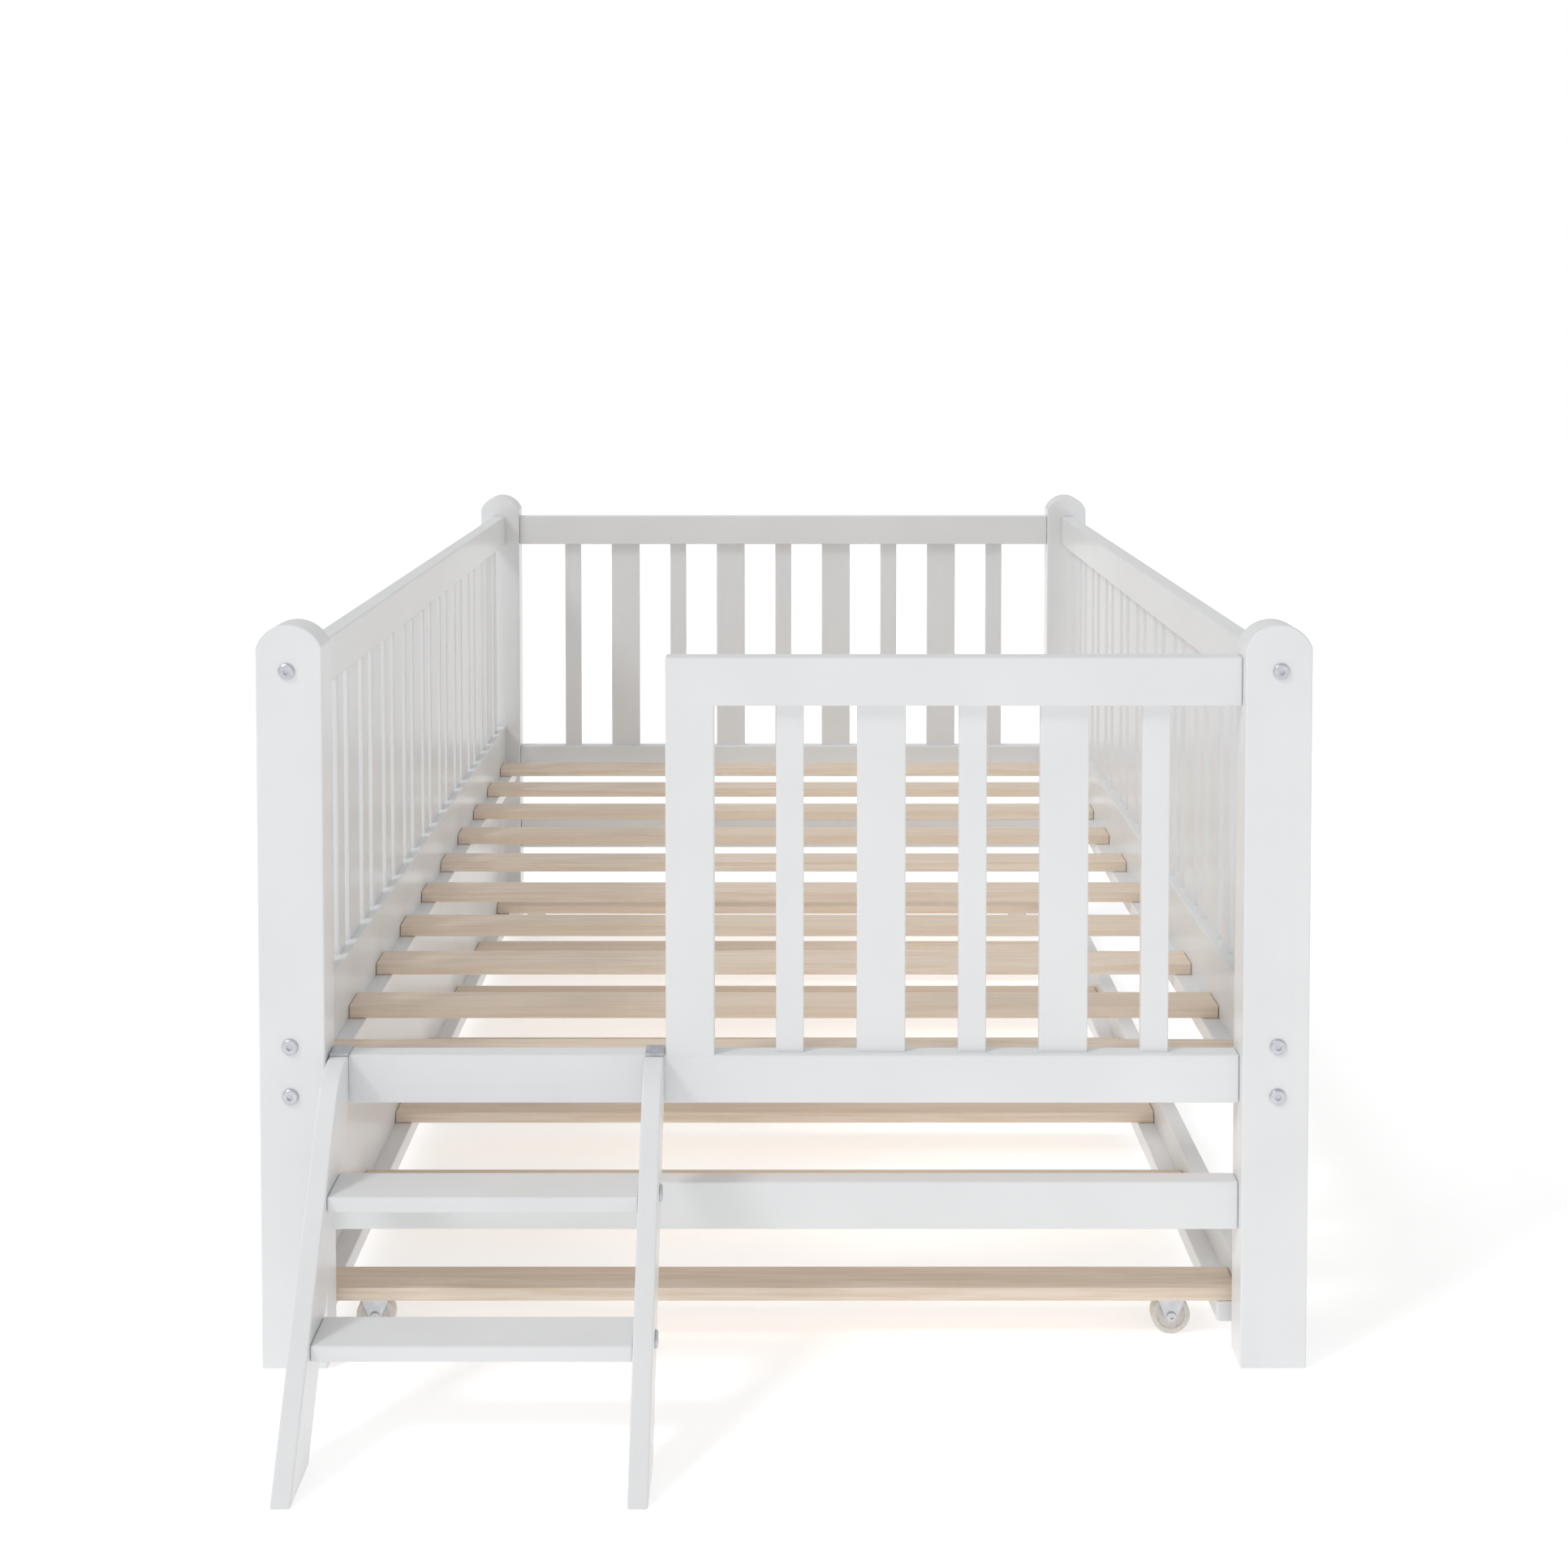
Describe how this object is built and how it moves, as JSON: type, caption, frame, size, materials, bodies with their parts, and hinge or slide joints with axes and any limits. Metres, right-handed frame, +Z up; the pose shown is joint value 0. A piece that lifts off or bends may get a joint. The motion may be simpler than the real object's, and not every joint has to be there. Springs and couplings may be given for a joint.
{
  "type": "trundle bed",
  "caption": "Low painted wooden bed with picket guard rails on every side, a slatted deck, a hook-on ladder at one end and a slatted trundle on casters that rolls out sideways",
  "frame": {"origin": "on the floor, at the middle of the whole outline, ladder included", "axes": "X across the bed with +X to the right as seen from the ladder end, Y from the ladder end to the back end, Z up; the trundle rolls out to -X"},
  "size_m": [1.5, 2.3268, 1.075],
  "materials": {
    "white_lacquered_wood": "white satin lacquer, sawn edges eased by 2 mm",
    "bare_slat_wood": "planed pale softwood, unpainted, fine straight grain",
    "zinc_steel": "pale zinc-plated steel, satin",
    "caster_nylon": "moulded warm off-white nylon"
  },
  "bodies": {
    "bed": {"post_front_left": "white_lacquered_wood", "post_front_right": "white_lacquered_wood", "post_back_left": "white_lacquered_wood", "post_back_right": "white_lacquered_wood", "side_panel_left": "white_lacquered_wood", "side_panel_right": "white_lacquered_wood", "front_panel": "white_lacquered_wood", "front_stretcher": "white_lacquered_wood", "back_panel": "white_lacquered_wood", "back_stretcher": "white_lacquered_wood", "slat_01": "bare_slat_wood", "slat_02": "bare_slat_wood", "slat_03": "bare_slat_wood", "slat_04": "bare_slat_wood", "slat_05": "bare_slat_wood", "slat_06": "bare_slat_wood", "slat_07": "bare_slat_wood", "slat_08": "bare_slat_wood", "slat_09": "bare_slat_wood", "slat_10": "bare_slat_wood", "bolt_front_left_1": "zinc_steel", "bolt_front_left_2": "zinc_steel", "bolt_front_left_3": "zinc_steel", "bolt_front_right_1": "zinc_steel", "bolt_front_right_2": "zinc_steel", "bolt_front_right_3": "zinc_steel", "bolt_back_left_1": "zinc_steel", "bolt_back_left_2": "zinc_steel", "bolt_back_left_3": "zinc_steel", "bolt_back_right_1": "zinc_steel", "bolt_back_right_2": "zinc_steel", "bolt_back_right_3": "zinc_steel"},
    "trundle": {"trundle_face_board": "white_lacquered_wood", "trundle_rail": "white_lacquered_wood", "trundle_slat_1": "bare_slat_wood", "trundle_slat_2": "bare_slat_wood", "trundle_slat_3": "bare_slat_wood", "trundle_slat_4": "bare_slat_wood", "trundle_slat_5": "bare_slat_wood", "trundle_slat_6": "bare_slat_wood", "trundle_slat_7": "bare_slat_wood", "caster_fork_front_left": "zinc_steel", "caster_fork_front_right": "zinc_steel", "caster_fork_back_left": "zinc_steel", "caster_fork_back_right": "zinc_steel"},
    "wheel_front_left": {"caster_wheel_front_left": "caster_nylon"},
    "wheel_front_right": {"caster_wheel_front_right": "caster_nylon"},
    "wheel_back_left": {"caster_wheel_back_left": "caster_nylon"},
    "wheel_back_right": {"caster_wheel_back_right": "caster_nylon"},
    "ladder": {"ladder_stringer_left": "white_lacquered_wood", "ladder_stringer_right": "white_lacquered_wood", "ladder_tread_lower": "white_lacquered_wood", "ladder_tread_upper": "white_lacquered_wood", "ladder_hook_left": "zinc_steel", "ladder_hook_right": "zinc_steel", "ladder_bolt_left_lower": "zinc_steel", "ladder_bolt_left_upper": "zinc_steel", "ladder_bolt_right_lower": "zinc_steel", "ladder_bolt_right_upper": "zinc_steel"}
  },
  "joints": [
    {"name": "trundle_slide", "type": "slide", "parent": "bed", "child": "trundle", "axis": [-1, 0, 0], "range_m": [0, 1.4]},
    {"name": "wheel_front_left_spin", "type": "hinge", "parent": "trundle", "child": "wheel_front_left", "pos_m": [-0.607, -0.74791, 0.0285], "axis": [0, -1, 0], "continuous": true},
    {"name": "wheel_front_right_spin", "type": "hinge", "parent": "trundle", "child": "wheel_front_right", "pos_m": [0.575, -0.74791, 0.0285], "axis": [0, -1, 0], "continuous": true},
    {"name": "wheel_back_left_spin", "type": "hinge", "parent": "trundle", "child": "wheel_back_left", "pos_m": [-0.607, 1.03709, 0.0285], "axis": [0, -1, 0], "continuous": true},
    {"name": "wheel_back_right_spin", "type": "hinge", "parent": "trundle", "child": "wheel_back_right", "pos_m": [0.575, 1.03709, 0.0285], "axis": [0, -1, 0], "continuous": true},
    {"name": "ladder_lift", "type": "slide", "parent": "bed", "child": "ladder", "axis": [0, 0, 1], "range_m": [0, 0.05]}
  ],
  "couplings": [
    {"joint": "wheel_front_left_spin", "follows": "trundle_slide", "rad_per_m": 35.088},
    {"joint": "wheel_front_right_spin", "follows": "trundle_slide", "rad_per_m": 35.088},
    {"joint": "wheel_back_left_spin", "follows": "trundle_slide", "rad_per_m": 35.088},
    {"joint": "wheel_back_right_spin", "follows": "trundle_slide", "rad_per_m": 35.088}
  ]
}
